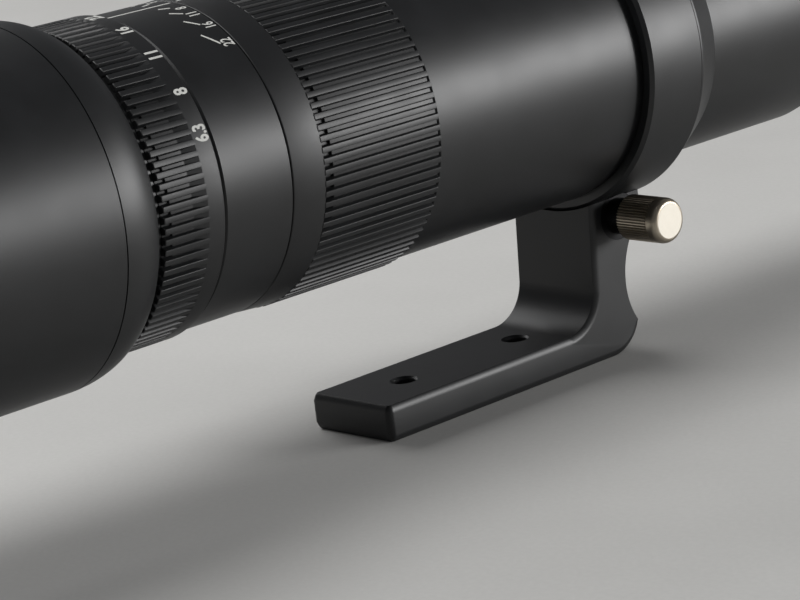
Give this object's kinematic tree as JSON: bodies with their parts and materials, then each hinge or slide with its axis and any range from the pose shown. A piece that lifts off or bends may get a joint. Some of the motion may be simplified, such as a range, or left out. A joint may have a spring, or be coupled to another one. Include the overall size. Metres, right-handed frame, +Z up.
{
  "type": "telephoto prime lens",
  "caption": "Long manual telephoto lens with a sliding hood, ribbed aperture and focus rings, a nine-blade iris and a rotating tripod collar on an L-shaped foot.",
  "frame": {"origin": "centre of the rear mounting flange, on the optical axis", "axes": "+Y along the optical axis towards the camera, the front element towards -Y; +Z up; the clamp knob on the +X side"},
  "size_m": [0.0936, 0.359, 0.1339],
  "materials": {
    "satin_black": "satin black anodised",
    "ring_black": "milled ribs, black anodised",
    "inner_black": "matt black",
    "blade_steel": "blackened spring steel",
    "lens_glass": "coated optical glass",
    "knob_nickel": "nickel plated, satin",
    "mount_chrome": "satin chrome",
    "steel": "turned",
    "turned_brass": "turned",
    "lining_plastic": "smooth"
  },
  "bodies": {
    "collar": {"collar_ring": "satin_black", "collar_lining": "lining_plastic", "foot": "satin_black", "foot_screws": "steel", "clamp_shoe_far": "turned_brass"},
    "clamp_shoe": {"clamp_shoe_near": "turned_brass", "clamp_washer": "steel"},
    "clamp_knob": {"clamp_knob": "knob_nickel", "clamp_stud": "steel"},
    "barrel": {"front_barrel": "satin_black", "filter_ring": "satin_black", "front_cell": "inner_black", "front_element": "lens_glass", "element_spacer": "inner_black", "second_element": "lens_glass", "front_retaining_ring": "inner_black", "scale_barrel": "satin_black", "iris_base": "inner_black", "iris_cover": "inner_black", "guide_tube": "inner_black", "main_barrel": "satin_black", "collar_retaining_ring": "satin_black", "rear_barrel": "satin_black", "rear_cell": "inner_black", "rear_element": "lens_glass", "rear_retaining_ring": "inner_black", "mount_ring": "mount_chrome", "mount_screws": "steel", "rear_baffle": "inner_black"},
    "hood": {"hood": "satin_black"},
    "aperture_ring": {"aperture_ring": "ring_black", "aperture_drive_pin": "steel", "iris_cam": "inner_black"},
    "focus_ring": {"focus_ring": "ring_black"},
    "focus_group": {"focus_slider": "turned_brass", "focus_keys": "steel", "focus_cell": "inner_black", "focus_front_element": "lens_glass", "focus_rear_element": "lens_glass", "focus_spacer": "inner_black", "focus_retaining_ring": "inner_black"},
    "iris_blade_1": {"iris_blade_1": "blade_steel"},
    "iris_blade_2": {"iris_blade_2": "blade_steel"},
    "iris_blade_3": {"iris_blade_3": "blade_steel"},
    "iris_blade_4": {"iris_blade_4": "blade_steel"},
    "iris_blade_5": {"iris_blade_5": "blade_steel"},
    "iris_blade_6": {"iris_blade_6": "blade_steel"},
    "iris_blade_7": {"iris_blade_7": "blade_steel"},
    "iris_blade_8": {"iris_blade_8": "blade_steel"},
    "iris_blade_9": {"iris_blade_9": "blade_steel"}
  },
  "joints": [
    {"name": "collar_turn", "type": "hinge", "parent": "collar", "child": "barrel", "pos_m": [0, 0, 0], "axis": [0, 1, 0], "continuous": true},
    {"name": "clamp_slide", "type": "slide", "parent": "collar", "child": "clamp_shoe", "axis": [1, 0, 0], "range_m": [0, 0.0008]},
    {"name": "clamp_turn", "type": "hinge", "parent": "clamp_shoe", "child": "clamp_knob", "pos_m": [0, -0.0994, -0.0469], "axis": [1, 0, 0], "range_deg": [0, 360]},
    {"name": "hood_slide", "type": "slide", "parent": "barrel", "child": "hood", "axis": [0, -1, 0], "range_m": [0, 0.048]},
    {"name": "aperture_turn", "type": "hinge", "parent": "barrel", "child": "aperture_ring", "pos_m": [0, 0, 0], "axis": [0, 1, 0], "range_deg": [-64, 0]},
    {"name": "focus_turn", "type": "hinge", "parent": "barrel", "child": "focus_ring", "pos_m": [0, 0, 0], "axis": [0, 1, 0], "range_deg": [0, 150]},
    {"name": "focus_slide", "type": "slide", "parent": "barrel", "child": "focus_group", "axis": [0, -1, 0], "range_m": [0, 0.01]},
    {"name": "iris_blade_1_turn", "type": "hinge", "parent": "barrel", "child": "iris_blade_1", "pos_m": [0.0372, -0.2675, 0], "axis": [0, 1, 0], "range_deg": [-25, 0]},
    {"name": "iris_blade_2_turn", "type": "hinge", "parent": "barrel", "child": "iris_blade_2", "pos_m": [0.0285, -0.2675, -0.02391], "axis": [0, 1, 0], "range_deg": [-25, 0]},
    {"name": "iris_blade_3_turn", "type": "hinge", "parent": "barrel", "child": "iris_blade_3", "pos_m": [0.00646, -0.2675, -0.03663], "axis": [0, 1, 0], "range_deg": [-25, 0]},
    {"name": "iris_blade_4_turn", "type": "hinge", "parent": "barrel", "child": "iris_blade_4", "pos_m": [-0.0186, -0.2675, -0.03222], "axis": [0, 1, 0], "range_deg": [-25, 0]},
    {"name": "iris_blade_5_turn", "type": "hinge", "parent": "barrel", "child": "iris_blade_5", "pos_m": [-0.03496, -0.2675, -0.01272], "axis": [0, 1, 0], "range_deg": [-25, 0]},
    {"name": "iris_blade_6_turn", "type": "hinge", "parent": "barrel", "child": "iris_blade_6", "pos_m": [-0.03496, -0.2675, 0.01272], "axis": [0, 1, 0], "range_deg": [-25, 0]},
    {"name": "iris_blade_7_turn", "type": "hinge", "parent": "barrel", "child": "iris_blade_7", "pos_m": [-0.0186, -0.2675, 0.03222], "axis": [0, 1, 0], "range_deg": [-25, 0]},
    {"name": "iris_blade_8_turn", "type": "hinge", "parent": "barrel", "child": "iris_blade_8", "pos_m": [0.00646, -0.2675, 0.03663], "axis": [0, 1, 0], "range_deg": [-25, 0]},
    {"name": "iris_blade_9_turn", "type": "hinge", "parent": "barrel", "child": "iris_blade_9", "pos_m": [0.0285, -0.2675, 0.02391], "axis": [0, 1, 0], "range_deg": [-25, 0]}
  ],
  "couplings": [
    {"joint": "clamp_turn", "follows": "clamp_slide", "rad_per_m": 7854},
    {"joint": "focus_slide", "follows": "focus_turn", "m_per_rad": 0.0038197},
    {"joint": "iris_blade_1_turn", "follows": "aperture_turn", "ratio": 0.39062},
    {"joint": "iris_blade_2_turn", "follows": "aperture_turn", "ratio": 0.39062},
    {"joint": "iris_blade_3_turn", "follows": "aperture_turn", "ratio": 0.39062},
    {"joint": "iris_blade_4_turn", "follows": "aperture_turn", "ratio": 0.39062},
    {"joint": "iris_blade_5_turn", "follows": "aperture_turn", "ratio": 0.39062},
    {"joint": "iris_blade_6_turn", "follows": "aperture_turn", "ratio": 0.39062},
    {"joint": "iris_blade_7_turn", "follows": "aperture_turn", "ratio": 0.39062},
    {"joint": "iris_blade_8_turn", "follows": "aperture_turn", "ratio": 0.39062},
    {"joint": "iris_blade_9_turn", "follows": "aperture_turn", "ratio": 0.39062}
  ]
}
